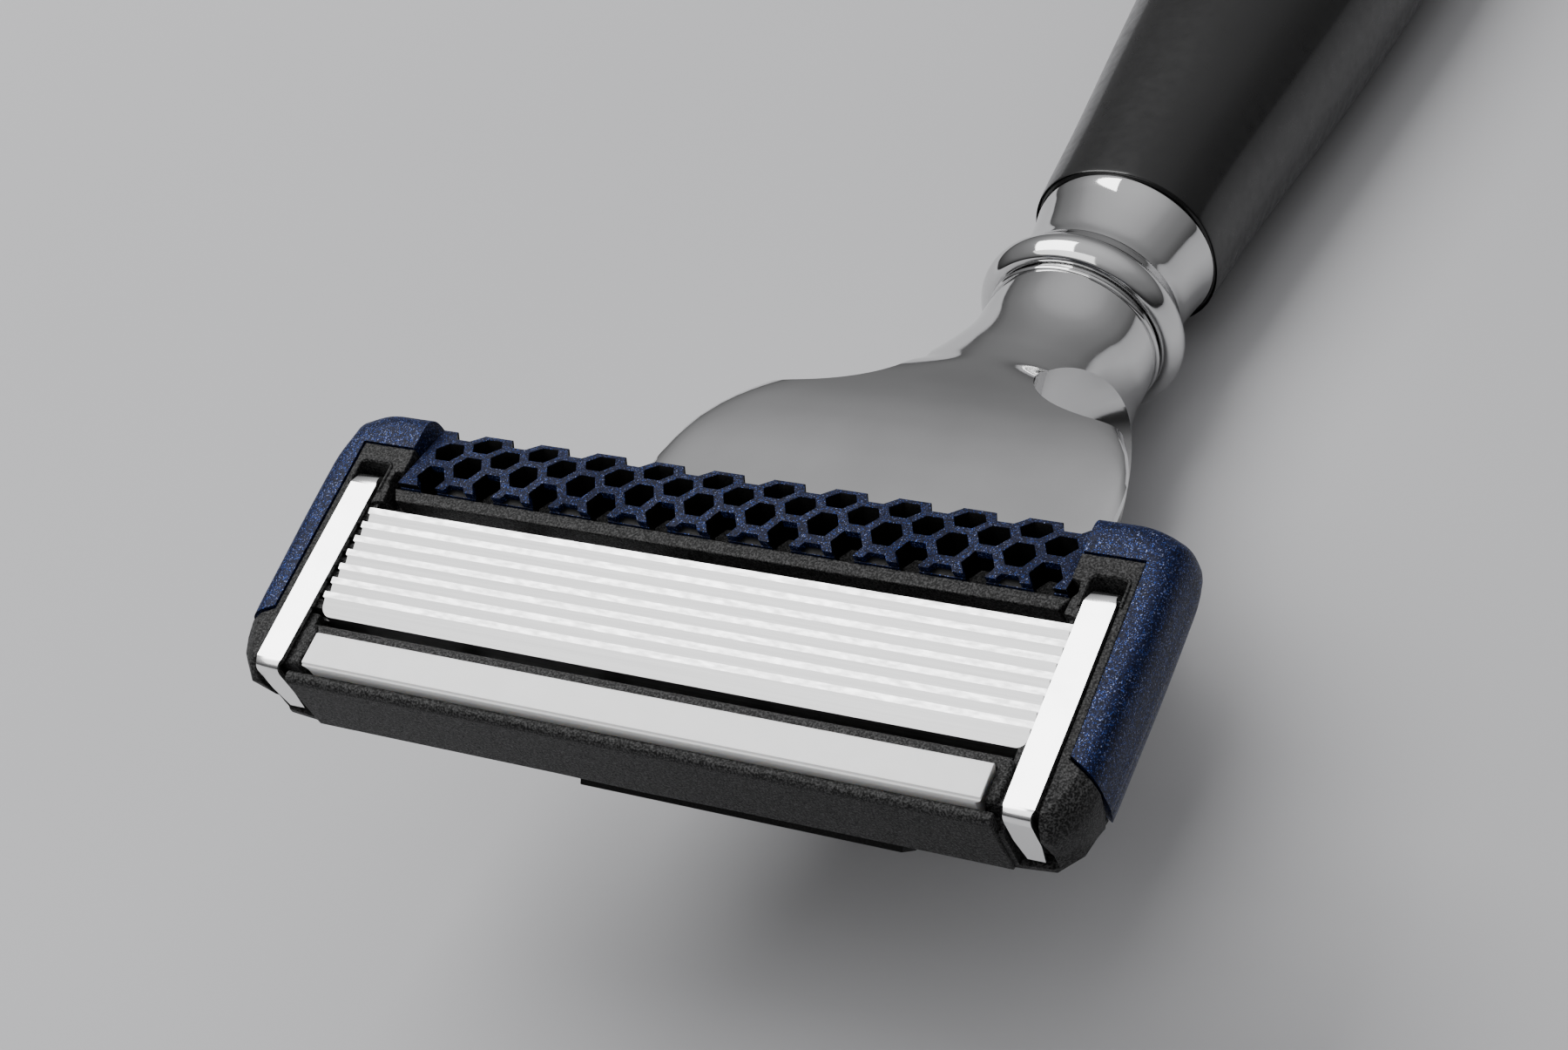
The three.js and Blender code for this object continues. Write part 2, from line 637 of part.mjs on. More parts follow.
function scoop() {
  const towardsNeck = (y) => THREE.MathUtils.smoothstep(y, 17, 33);
  const squareness = (y) => THREE.MathUtils.lerp(6, 2, towardsNeck(y));
  const keel = (y) => THREE.MathUtils.lerp(0.6, 1, towardsNeck(y));
  const body = lofted([
    [SCOOP_FRONT, 11.4, -7.8, -15.6],
    [10.5, 12.4, -7.6, -15.8],
    [14.5, 13.0, -7.5, -16.2],
    [18.4, 13.0, -7.5, -16.9],
    [21.5, 12.4, -7.7, -17.6],
    [24.5, 11.0, -8.2, -18.4],
    [28.0, 8.4, -9.2, -19.4],
    [31.5, 6.05, -10.2, -20.3],
    [34.8, 4.95, -10.95, -20.6],
    [NECK_END, 4.8, AXIS_Z + 4.8, AXIS_Z - 4.8],
  ], { segments: 44, squareness, keel });
  const boss = block([-2.6, 2.6], [BOSS_FRONT, 13.5], [-9, -5.9]);
  const tongue = block([-TONGUE_HALF, TONGUE_HALF], [TONGUE_Y, SCOOP_FRONT + 1], TONGUE_Z);
  const camRoom = block([-1.7, 1.7], [0, BOSS_FRONT], [-8.9, 0]);
  const plungerBore = solid(alongPlunger(openBore(), 0));
  const rodBores = bothSides((side) => {
    const x = side * EJECTOR_U;
    return barY(EJECTOR_R + 0.1, [0, POCKET_Y[0] + 1], x, EJECTOR_Z, 16);
  });
  const pocket = block([-POCKET_HALF, POCKET_HALF], POCKET_Y, [-FAR, POCKET_TOP]);
  const rodBore = barY(ROD_R + RUNNING, [ROD_Y[0] - 0.3, NECK_END + 1], 0, AXIS_Z);
  const rooms = [camRoom, plungerBore, ...rodBores, pocket, rodBore];
  return part('neck_scoop', cut(fuse([body, boss, tongue]), rooms), chrome());
}

function sleeve(name, pairs, boreRadius, look, segments = 36) {
  const length = [pairs[0][0] - 1, pairs.at(-1)[0] + 1];
  return part(name, turned(pairs, segments).subtract(barY(boreRadius, length, 0, AXIS_Z)), look);
}

function beadRing() {
  const [y0, y1] = RING_Y;
  const middle = (y0 + y1) / 2 - 0.2;
  return sleeve('bead_ring', [
    [y0, 4.5], [y0 + 0.35, 4.55], [middle - 0.95, 5.3], [middle - 0.5, 5.65], [middle, 5.75],
    [middle + 0.5, 5.65], [middle + 0.95, 5.35], [y1, 4.95],
  ], ROD_R + RUNNING, chrome());
}

function ferrule() {
  const [y0, y1] = FERRULE_Y;
  return sleeve('ferrule', [
    [y0, 4.9], [y0 + 0.9, 4.75], [y0 + 2.2, 4.8], [y0 + 3.4, 4.95], [y1 - 0.15, 5.15], [y1, 5.0],
  ], ROD_R + RUNNING, chrome());
}

function handleShell() {
  const [y0, y1] = HANDLE_Y;
  const z = (drop) => AXIS_Z + drop;
  const body = lofted([
    [y0, 5.0, z(5.0), z(-5.0)],
    [y0 + 0.6, 5.3, z(5.3), z(-5.3)],
    [52, 5.7, z(5.6), z(-5.6)],
    [60, 6.5, z(6.0), z(-6.2)],
    [67, 7.15, z(6.3), z(-6.7)],
    [76, 7.85, z(6.6), z(-7.0)],
    [88, 8.2, z(6.75), z(-7.0)],
    [100, 8.0, z(6.65), z(-6.9)],
    [114, 7.3, z(6.25), z(-6.7)],
    [126, 6.6, z(5.85), z(-6.3)],
    [y1, 6.35, z(5.7), z(-6.05)],
  ], { segments: 40, squareness: () => 2.2 });
  const land = block([-FAR, FAR], [y0 - 1, y1 + 1], [AXIS_Z - FAR, AXIS_Z - LAND_DROP]);
  const bore = barY(CORE_R, [y0 - 1, y1 + 1], 0, AXIS_Z, 32);
  return part('handle_shell', cut(body, [land, bore]), blackLacquer());
}

function handlePlug(name, [y0, y1]) {
  return sleeve(name, [[y0, CORE_R - RUNNING], [y1, CORE_R - RUNNING]], ROD_R + RUNNING, blackPlastic(), 32);
}

function balanceWeight() {
  const radius = CORE_R - 0.1;
  const pairs = WEIGHT_Y.map((y) => [y, radius]);
  return sleeve('balance_weight', pairs, ROD_R + RUNNING, brassWeight(), 32);
}

function tangRod() {
  return part('tang_rod', barY(ROD_R, ROD_Y, 0, AXIS_Z), springSteel());
}

function endCap() {
  const [y0, y1] = CAP_Y;
  const z = (drop) => AXIS_Z + drop;
  const body = lofted([
    [y0, 6.2, z(5.6), z(-5.75)],
    [y0 + 0.5, 6.35, z(5.7), z(-5.85)],
    [y0 + 3.5, 6.2, z(5.55), z(-5.75)],
    [y0 + 6.0, 5.4, z(4.9), z(-5.2)],
    [y1 - 0.5, 3.6, z(3.3), z(-3.5)],
    [y1, 2.2, z(2.0), z(-2.1)],
  ], { segments: 36, squareness: () => 2.2 });
  const bore = barY(ROD_R + RUNNING, [y0 - 1, ROD_Y[1] + 0.1], 0, AXIS_Z);
  const nutRoom = barY(NUT_R + 0.2, [y0 - 1, NUT_Y[1] + 0.2], 0, AXIS_Z, 32);
  return part('end_cap', cut(body, [bore, nutRoom]), chrome());
}

function nut(name, [y0, y1]) {
  const geometry = new THREE.CylinderGeometry(NUT_R, NUT_R, y1 - y0, 6);
  geometry.translate(0, (y0 + y1) / 2, AXIS_Z);
  const bore = barY(ROD_R + RUNNING, [y0 - 1, y1 + 1], 0, AXIS_Z);
  return part(name, solid(geometry).subtract(bore), springSteel());
}

// fills the space between the rod and the bore
function seal(name, y) {
  const thickness = (CORE_R - ROD_R) / 2 - RUNNING;
  const ring = new THREE.TorusGeometry((CORE_R + ROD_R) / 2, thickness, 10, 28);
  ring.rotateX(Math.PI / 2);
  ring.translate(0, y, AXIS_Z);
  return part(name, solid(ring), sealRubber());
}

// ---------------------------------------------------------------- assembly
const head = new THREE.Group();
head.rotation.x = HEAD_TILT;
for (let k = 0; k < BLADE_COUNT; k += 1) head.add(blade(k), bladeSupport(k));
head.add(housing(), blueTrim(), honeycombGuard(), lubricatingStrip(), clip(1), clip(-1));

const body = new THREE.Group();
body.add(head, cradle(), pivotPin(1), pivotPin(-1), plunger(), plungerSpring());
body.add(releaseButton(), buttonSpring(), scoop(), beadRing(), ferrule(), handleShell());
body.add(handlePlug('front_plug', PLUG_Y), seal('front_seal', PLUG_Y[1] + 1.5), balanceWeight());
body.add(seal('rear_seal', WEIGHT_Y[1] + 1.5), tangRod(), nut('tang_nut', NUT_Y), endCap());

// the box's middle over the origin, its lowest point on the surface
const razor = new THREE.Group();
razor.add(body);
const box = new THREE.Box3().setFromObject(razor, true);
body.position.set(0, -(box.min.y + box.max.y) / 2, -box.min.z);

export default razor;
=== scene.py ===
import json
import math

import bmesh
import bpy
from mathutils import Matrix, Vector


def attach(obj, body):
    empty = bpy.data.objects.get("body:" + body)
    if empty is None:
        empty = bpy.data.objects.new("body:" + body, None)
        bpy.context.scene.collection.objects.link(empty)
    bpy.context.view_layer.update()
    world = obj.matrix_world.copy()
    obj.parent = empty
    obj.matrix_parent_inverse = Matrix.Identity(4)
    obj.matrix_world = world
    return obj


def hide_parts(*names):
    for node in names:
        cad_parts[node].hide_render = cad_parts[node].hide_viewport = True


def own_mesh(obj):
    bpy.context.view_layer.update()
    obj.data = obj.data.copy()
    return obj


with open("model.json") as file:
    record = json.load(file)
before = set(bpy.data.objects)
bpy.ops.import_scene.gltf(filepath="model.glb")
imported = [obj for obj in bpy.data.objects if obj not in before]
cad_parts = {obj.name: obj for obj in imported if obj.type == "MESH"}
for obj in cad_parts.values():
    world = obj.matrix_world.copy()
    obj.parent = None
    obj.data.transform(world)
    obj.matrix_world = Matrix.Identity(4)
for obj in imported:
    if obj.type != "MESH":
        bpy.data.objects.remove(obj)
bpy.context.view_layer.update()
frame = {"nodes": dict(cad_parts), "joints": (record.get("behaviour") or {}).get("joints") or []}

# ------------------------------------------------------------------ frames and dimensions, mm
HEAD_TILT = Matrix.Rotation(math.radians(12), 4, "X")
PIVOT_FACE = Vector((0, 5.8, -5.5))
PIVOT = HEAD_TILT @ PIVOT_FACE
joints = {joint["name"]: joint for joint in frame["joints"]}
PLACED = Matrix.Translation(joints["head_pivot"]["pos_m"]) @ Matrix.Scale(0.001, 4)
RAZOR = PLACED @ Matrix.Translation(-PIVOT)
FACE = RAZOR @ HEAD_TILT

WINDOW_HALF = 17.15
HOUSING_BACK = -4.0
BASE_TOP = -1.25                # the housing's terraces stand on this level
PAD_TOP = -0.1
CHANNEL_U = (17.48, 19.12)
CHANNEL_FLOOR = -0.3
CLIP_U = 18.3
CLIP_THICK = 0.25

BLADE_COUNT = 7
BLADE_PITCH = 0.767
BLADE_FIRST_V = 3.45
BLADE_TILT = math.radians(21)
BLADE_WIDTH = 1.15
BLADE_THICK = 0.1
BLADE_BEVEL = 0.28

GUARD_U = (-16.58, 16.68)
HEX_PITCH = 3.06
HEX_WALL = 0.44
HEX_FIRST_V = 5.48
HEX_SHIFT = 0.3

AXIS_Z = -15.85
SCOOP_FRONT = 7.2
NECK_END = 37.9
RING_Y = (37.95, 41.2)
FERRULE_Y = (41.25, 45.7)
HANDLE_Y = (45.75, 130.8)
CAP_Y = (130.9, 138.6)
LAND_DROP = 5.9
ROD_BORE = 1.65
CORE_R = 4.2

DIMPLE_CENTRE = Vector((11.15, 28.9, -11.75))
DIMPLE_RADII = (8.2, 5.4, 7.3)
DIMPLE_YAW = math.radians(9)
DIMPLE_ROLL = math.radians(4)
EJECTOR_BORE = 0.7
EJECTOR_U = 2.5
EJECTOR_DROP = -13.95
PLUNGER_BORE = 1.15
PLUNGER_TILT = math.radians(30)


# ------------------------------------------------------------------ mesh tools
def mesh_object(points, faces):
    """A new object whose faces all point out."""
    mesh = bpy.data.meshes.new("shape")
    mesh.from_pydata([tuple(p) for p in points], [], faces)
    work = bmesh.new()
    work.from_mesh(mesh)
    bmesh.ops.remove_doubles(work, verts=work.verts, dist=1e-5)
    bmesh.ops.dissolve_degenerate(work, edges=work.edges, dist=1e-6)
    bmesh.ops.recalc_face_normals(work, faces=work.faces)
    work.to_mesh(mesh)
    work.free()
    obj = bpy.data.objects.new("shape", mesh)
    bpy.context.scene.collection.objects.link(obj)
    return obj


def skin(rings, wrap=False):
    """A closed surface through rings of equally many points, capped, or joined end to start."""
    count = len(rings[0])
    points = [p for ring in rings for p in ring]
    pairs = [(i, i + 1) for i in range(len(rings) - 1)]
    if wrap:
        pairs.append((len(rings) - 1, 0))
    faces = []
    for a, b in pairs:
        for j in range(count):
            k = (j + 1) % count
            faces.append((a * count + j, a * count + k, b * count + k, b * count + j))
    if not wrap:
        faces.append(tuple(range(count)))
        faces.append(tuple(range((len(rings) - 1) * count, len(rings) * count)))
    return mesh_object(points, faces)


def prism(outline, low, high, axis="z"):
    """An outline in the other two axes, drawn out along one."""
    place = {
        "x": lambda a, b, c: (c, a, b),
        "y": lambda a, b, c: (a, c, b),
        "z": lambda a, b, c: (a, b, c),
    }[axis]
    return skin([[place(a, b, c) for a, b in outline] for c in (low, high)])


def block(x, y, z):
    return prism([(x[0], y[0]), (x[1], y[0]), (x[1], y[1]), (x[0], y[1])], *z)


def circle(radius, centre, count=48):
    turns = [2 * math.pi * i / count for i in range(count)]
    return [(centre[0] + radius * math.cos(t), centre[1] + radius * math.sin(t)) for t in turns]


def baked(obj):
    """The object with its modifiers applied."""
    bpy.context.view_layer.update()
    graph = bpy.context.evaluated_depsgraph_get()
    made = bpy.data.meshes.new_from_object(obj.evaluated_get(graph))
    obj.modifiers.clear()
    obj.data = made
    return obj


def rounded(obj, width, segments=2, angle=35):
    """Its corners rounded, flat areas being merged first."""
    work = bmesh.new()
    work.from_mesh(obj.data)
    flat = math.radians(0.5)
    bmesh.ops.dissolve_limit(work, angle_limit=flat, verts=work.verts, edges=work.edges)
    work.to_mesh(obj.data)
    work.free()
    bevel = obj.modifiers.new("bevel", "BEVEL")
    bevel.width = width
    bevel.segments = segments
    bevel.limit_method = "ANGLE"
    bevel.angle_limit = math.radians(angle)
    return baked(obj)


def combined(obj, tools, operation="UNION"):
    """One solid joined with others, or cut by them."""
    operands = bpy.data.collections.new("operands")
    for tool in tools:
        operands.objects.link(tool)
    boolean = obj.modifiers.new("boolean", "BOOLEAN")
    boolean.operand_type = "COLLECTION"
    boolean.collection = operands
    boolean.operation = operation
    boolean.solver = "EXACT"
    baked(obj)
    for tool in tools:
        bpy.data.objects.remove(tool)
    bpy.data.collections.remove(operands)
    return obj


def cut(obj, *tools):
    return combined(obj, tools, "DIFFERENCE")


def slab(outline, low, high, width=0.06, axis="z"):
    """A prism with rounded edges."""
    return rounded(prism(outline, low, high, axis), width)


def both(outline):
    """An outline on the right of the face, and its mirror image on the left."""
    return outline, [(-u, v) for u, v in outline]


def copied(node, place):
    """A copy of a CAD node's mesh, in millimetres in the frame that place leads out of."""
    obj = bpy.data.objects.new("copy", frame["nodes"][node].data.copy())
    bpy.context.scene.collection.objects.link(obj)
    obj.data.transform(place.inverted())
    work = bmesh.new()
    work.from_mesh(obj.data)
    bmesh.ops.remove_doubles(work, verts=work.verts, dist=1e-4)
    work.to_mesh(obj.data)
    work.free()
    obj.data.materials.clear()
    return obj


def curve_through(points, per_span):
    """A smooth line through points of any number of coordinates."""
    rows = [Vector(p) for p in points]
    rows = [2 * rows[0] - rows[1], *rows, 2 * rows[-1] - rows[-2]]
    line = []
    for i in range(1, len(rows) - 2):
        a, b, c, d = rows[i - 1 : i + 3]
        for step in range(per_span):
            t = step / per_span
            line.append(
                b + (c - a) * (t / 2)
                + (2 * a - 5 * b + 4 * c - d) * (t * t / 2)
                + (3 * b - a - 3 * c + d) * (t**3 / 2)
            )
    line.append(rows[-2])
    return line


def straight_through(points, per_span):
    rows = [Vector(p) for p in points]
    line = [a.lerp(b, k / per_span) for a, b in zip(rows, rows[1:]) for k in range(per_span)]
    return [*line, rows[-1]]


def filleted(points, radii, steps=7):
    """A polyline whose inner corners are replaced by arcs."""
    rows = [Vector(p) for p in points]
    line = [rows[0]]
    for before, corner, after, radius in zip(rows, rows[1:], rows[2:], radii):
        start = corner + (before - corner).normalized() * radius
        end = corner + (after - corner).normalized() * radius
        for k in range(steps + 1):
            t = k / steps
            line.append(start.lerp(corner, t).lerp(corner.lerp(end, t), t))
    return [*line, rows[-1]]


def evenly(points, count):
    """count points at equal distances along a polyline, its end left out."""
    lengths = [0.0]
    for a, b in zip(points, points[1:]):
        lengths.append(lengths[-1] + (b - a).length)
    out, i = [], 0
    for k in range(count):
        wanted = lengths[-1] * k / count
        while lengths[i + 1] < wanted:
            i += 1
        share = (wanted - lengths[i]) / max(lengths[i + 1] - lengths[i], 1e-12)
        out.append(points[i].lerp(points[i + 1], share))
    return out


def section(half, top, bottom, powers, keel, count=40):
    """A closed section in x and z: an ellipse squared towards its box, count points a quarter."""
    middle, tall = (top + bottom) / 2, (top - bottom) / 2
    fine = 400
    ring = []
    for quarter in range(4):
        power = powers[0] if quarter < 2 else powers[1]
        line = []
        for k in range(fine + 1):
            angle = math.pi / 2 * (quarter + k / fine)
            c, s = math.cos(angle), math.sin(angle)
            x = math.copysign(abs(c) ** (2 / power), c) if abs(c) > 1e-9 else 0.0
            z = math.copysign(abs(s) ** (2 / power), s) if abs(s) > 1e-9 else 0.0
            narrow = keel + (1 - keel) * (z + 1) / 2
            line.append(Vector((x * half * narrow, middle + z * tall)))
        ring.extend(evenly(line, count))
    return ring


def loft(stations, per_span, powers=lambda y: (2.2, 2.2), keel=lambda y: 1.0, floor=-99.0, count=40):
    """A body through [y, half width, top, bottom] stations, flat where it meets the floor."""
    rings = []
    for y, half, top, bottom in curve_through(stations, per_span):
        ring = section(half, top, bottom, powers(y), keel(y), count)
        rings.append([(x, y, max(z, floor)) for x, z in ring])
    return skin(rings)


def turned(profile, bore, count=160):
    """A turned sleeve about the handle's axis, from [y, radius] pairs, with a bore."""
    loop = [*profile, (profile[-1][0], bore), (profile[0][0], bore)]
    rings = []
    for y, radius in loop:
        rings.append([(x, y, AXIS_Z + z) for x, z in circle(radius, (0, 0), count)])
    return skin(rings, wrap=True)


def smoothstep(value, low, high):
    t = min(max((value - low) / (high - low), 0), 1)
    return t * t * (3 - 2 * t)


# ------------------------------------------------------------------ materials
class Finish:
    """A procedural material: object coordinates in metres, noise, ramps and bump."""

    def __init__(self, name, **uniform):
        self.material = bpy.data.materials.new(name)
        self.material.use_nodes = True
        self.nodes = self.material.node_tree.nodes
        self.links = self.material.node_tree.links
        self.shader = self.nodes["Principled BSDF"]
        self.place = self.nodes.new("ShaderNodeTexCoord").outputs["Object"]
        for socket, value in uniform.items():
            self.shader.inputs[socket.replace("_", " ")].default_value = value

    def stretched(self, scale):
        mapping = self.nodes.new("ShaderNodeMapping")
        mapping.inputs["Scale"].default_value = scale
        self.links.new(self.place, mapping.inputs["Vector"])
        return mapping.outputs["Vector"]

    def noise(self, scale, detail=3.0, stretch=None):
        node = self.nodes.new("ShaderNodeTexNoise")
        node.inputs["Scale"].default_value = scale
        node.inputs["Detail"].default_value = detail
        place = self.place if stretch is None else self.stretched(stretch)
        self.links.new(place, node.inputs["Vector"])
        return node.outputs["Fac"]

    def cells(self, scale, output="Color"):
        node = self.nodes.new("ShaderNodeTexVoronoi")
        node.inputs["Scale"].default_value = scale
        self.links.new(self.place, node.inputs["Vector"])
        return node.outputs[output]

    def ramp(self, source, *stops):
        node = self.nodes.new("ShaderNodeValToRGB")
        elements = node.color_ramp.elements
        while len(elements) < len(stops):
            elements.new(0.5)
        for element, (position, colour) in zip(elements, stops):
            grey = isinstance(colour, (int, float))
            element.position = position
            element.color = (colour,) * 3 + (1,) if grey else (*colour, 1)
        self.links.new(source, node.inputs["Fac"])
        return node.outputs["Color"]

    def mixed(self, share, first, second, blend="MIX"):
        node = self.nodes.new("ShaderNodeMix")
        node.data_type = "RGBA"
        node.blend_type = blend
        for socket, value in ((node.inputs[0], share), (node.inputs[6], first), (node.inputs[7], second)):
            if hasattr(value, "links"):
                self.links.new(value, socket)
            elif socket == node.inputs[0]:
                socket.default_value = value
            else:
                socket.default_value = (*value, 1)
        return node.outputs[2]

    def drive(self, socket, source):
        self.links.new(source, self.shader.inputs[socket])
        return self

    def bump(self, height, strength, distance):
        """Adds relief, in metres, on top of any relief made before."""
        node = self.nodes.new("ShaderNodeBump")
        node.inputs["Strength"].default_value = strength
        node.inputs["Distance"].default_value = distance
        self.links.new(height, node.inputs["Height"])
        below = self.shader.inputs["Normal"].links
        if below:
            self.links.new(below[0].from_socket, node.inputs["Normal"])
        self.links.new(node.outputs["Normal"], self.shader.inputs["Normal"])
        return self


def black_plastic(name="moulded_plastic", dark=0.003, light=0.06, grain=0.9):
    """Spark eroded grain, finer than 0.1 mm."""
    made = Finish(name, Specular_IOR_Level=0.16)
    fine = made.noise(13000)
    made.drive("Base Color", made.ramp(made.noise(11000, 2), (0.42, dark), (0.68, light)))
    made.drive("Roughness", made.ramp(fine, (0.3, 0.4), (0.7, 0.62)))
    made.bump(made.noise(900, 2), 0.15, 0.00004)
    made.bump(fine, grain, 0.00004)
    return made.material


def blue_rubber(name, low, high, fleck_share):
    """Dark pearl pigment: most cells dull, a few turned to the light."""
    made = Finish(name, Specular_IOR_Level=0.14)
    pigment = made.ramp(made.noise(5200), (0.3, low), (0.72, high))
    fleck = made.ramp(made.cells(26000), (1 - fleck_share, 0.0), (1.0, 1.0))
    shade = made.ramp(
        made.cells(15500), (0.0, (0.01, 0.03, 0.16)), (0.5, (0.05, 0.12, 0.5)), (1.0, (0.5, 0.55, 0.75))
    )
    made.drive("Base Color", made.mixed(fleck, pigment, shade))
    made.drive("Metallic", made.ramp(fleck, (0.0, 0.0), (1.0, 0.85)))
    made.drive("Roughness", made.ramp(made.noise(9000), (0.3, 0.34), (0.7, 0.56)))
    made.bump(made.noise(8500), 0.45, 0.00004)
    made.bump(made.cells(26000), 0.4, 0.00002)
    return made.material


def white_strip():
    made = Finish("strip_polymer", Subsurface_Weight=0.25, Subsurface_Scale=0.0006, Coat_Weight=0.2)
    made.shader.inputs["Subsurface Radius"].default_value = (1.0, 0.9, 0.8)
    dull, bright = (0.93, 0.93, 0.92), (0.97, 0.97, 0.965)
    made.drive("Base Color", made.ramp(made.noise(600), (0.3, dull), (0.7, bright)))
    made.drive("Roughness", made.ramp(made.noise(2500), (0.3, 0.28), (0.7, 0.42)))
    made.bump(made.noise(1800, 2), 0.12, 0.00004)
    made.bump(made.noise(300, 1, (0.2, 1, 1)), 0.1, 0.0001)
    return made.material


def brushed(name, dark, light, rough, grain=(60, 9000, 9000), depth=0.2, metallic=1.0):
    """Metal with a grain drawn along x."""
    made = Finish(name, Metallic=metallic)
    lines = made.noise(1, 4, grain)
    made.drive("Base Color", made.ramp(lines, (0.3, dark), (0.7, light)))
    made.drive("Roughness", made.ramp(lines, (0.3, rough[0]), (0.7, rough[1])))
    made.bump(lines, depth, 0.00001)
    return made.material


def honed_edge():
    """The ground bevel of a blade: bright, with a speckle where the grinding turns to honing."""
    made = Finish("honed_bevel", Metallic=1.0)
    speck = made.noise(5200, 5, (0.35, 1, 1))
    made.drive("Base Color", made.ramp(speck, (0.3, 0.82), (0.62, 0.98)))
    made.drive("Roughness", made.ramp(speck, (0.35, 0.5), (0.7, 0.3)))
    made.bump(speck, 0.35, 0.00002)
    return made.material


def polished(name, dark, light, rough, scratch=0.06):
    """Polished or plated metal: faint waviness, fine scratches, slightly uneven gloss."""
    made = Finish(name, Metallic=1.0)
    made.drive("Base Color", made.ramp(made.noise(180), (0.3, dark), (0.7, light)))
    made.drive("Roughness", made.ramp(made.noise(700, 5), (0.35, rough[0]), (0.75, rough[1])))
    made.bump(made.noise(1, 3, (400, 6000, 5000)), scratch, 0.000004)
    made.bump(made.noise(160, 1), 0.01, 0.0001)
    return made.material


def lacquer():
    """Deep black lacquer with a faint orange peel under a clear coat."""
    made = Finish("black_lacquer", Coat_Weight=0.4, Coat_Roughness=0.1, Specular_IOR_Level=0.25)
    made.drive("Base Color", made.ramp(made.noise(120), (0.3, 0.003), (0.7, 0.006)))
    made.drive("Roughness", made.ramp(made.noise(1400, 4), (0.3, 0.25), (0.7, 0.4)))
    made.bump(made.noise(420, 2), 0.05, 0.00008)
    return made.material


def seal_rubber():
    made = Finish("seal_rubber", Specular_IOR_Level=0.3, Sheen_Weight=0.1)
    made.drive("Base Color", made.ramp(made.noise(3000), (0.3, 0.012), (0.7, 0.028)))
    made.drive("Roughness", made.ramp(made.noise(2000), (0.3, 0.65), (0.7, 0.85)))
    made.bump(made.noise(6000), 0.3, 0.00004)
    return made.material


PLASTIC = black_plastic()
GLOSSY_PLASTIC = black_plastic("mechanism_plastic", 0.004, 0.014, 0.2)
RUBBER = blue_rubber("pearl_rubber", (0.001, 0.002, 0.009), (0.003, 0.007, 0.036), 0.32)
# A lighter copy of the pearl rubber: painted light for the lit tops of the guard's walls.
PAINTED_LIGHT_RUBBER = blue_rubber("pearl_rubber_painted_light", (0.003, 0.004, 0.011), (0.012, 0.014, 0.034), 0.3)
# Near-black painted shade for the deep faces of the guard's cells.
PAINTED_SHADE = black_plastic("painted_shade_rubber", 0.001, 0.003, 0.1)
STRIP = white_strip()
BLADE = brushed("blade_steel", 0.66, 0.76, (0.3, 0.4))
EDGE = honed_edge()
CLIP = polished("clip_metal", 0.90, 0.95, (0.16, 0.26), 0.12)
CHROME = polished("chrome_plate", 0.60, 0.66, (0.05, 0.10))
STEEL = brushed("spring_steel", 0.36, 0.5, (0.3, 0.42))
BRASS = brushed("turned_brass", (0.62, 0.42, 0.16), (0.75, 0.53, 0.22), (0.25, 0.4), (9000, 300, 9000))
LACQUER = lacquer()
SEAL = seal_rubber()


# ------------------------------------------------------------------ finished pieces
def piece(obj, name, place, body, materials, nodes, angle=32):
    """Puts a shape in the row frame, on its body, in place of its CAD nodes."""
    obj.name = name
    obj.data.name = name
    obj.data.transform(place)
    obj.data.validate()         # drops the few doubled faces that cuts leave
    for material in materials:
        obj.data.materials.append(material)
    obj.data.shade_smooth()
    obj.data.set_sharp_from_angle(angle=math.radians(angle))
    weighted = obj.modifiers.new("weighted normals", "WEIGHTED_NORMAL")
    weighted.keep_sharp = True
    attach(obj, body)
    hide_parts(*nodes)
    return obj


# ------------------------------------------------------------------ cartridge
def blade_edge(k):
    return BLADE_FIRST_V - k * BLADE_PITCH


def side_pads():
    """The flat frame beside each clip, with the slot that the clip dives into."""
    outline = [
        (16.9, 3.92), (17.4, 3.85), (17.6, 3.5), (19.0, 3.5), (19.0, -2.9), (19.48, -2.9),
        (19.48, 6.88), (16.66, 6.88), (16.64, 5.62), (17.08, 5.55), (17.16, 5.0), (16.98, 4.75),
    ]
    return [slab(side, BASE_TOP - 0.15, PAD_TOP, 0.07) for side in both(outline)]


def clip_lanes():
    """The channels that the clips lie in, round at the ends of their slots."""
    inner, outer = CHANNEL_U
    corner = [(inner, -7), (outer, -7), (outer, 5.9), (inner, 5.9), (inner, -7)]
    rim = [tuple(p) for p in filleted(corner, [0.01, 0.32, 0.32], 5)][:-1]
    return [prism(side, HOUSING_BACK - 1, 1) for side in both(rim)]


def slot_lips():
    """A raised bead round the end of each slot."""
    inner, outer = CHANNEL_U
    path = filleted([(inner - 0.07, 4.4), (inner - 0.07, 6.0), (outer + 0.05, 6.0), (outer + 0.05, 4.6)],
                    [0.35, 0.35], 6)
    lips = []
    for side in (1, -1):
        rings = []
        for i, here in enumerate(path):
            before, after = path[max(i - 1, 0)], path[min(i + 1, len(path) - 1)]
            along = (after - before).normalized()
            across = Vector((-along.y, along.x))
            ring = []
            for a, z in circle(0.085, (0, PAD_TOP), 10):
                ring.append((side * (here.x + across.x * a), here.y + across.y * a, z))
            rings.append(ring)
        lips.append(skin(rings))
    return lips


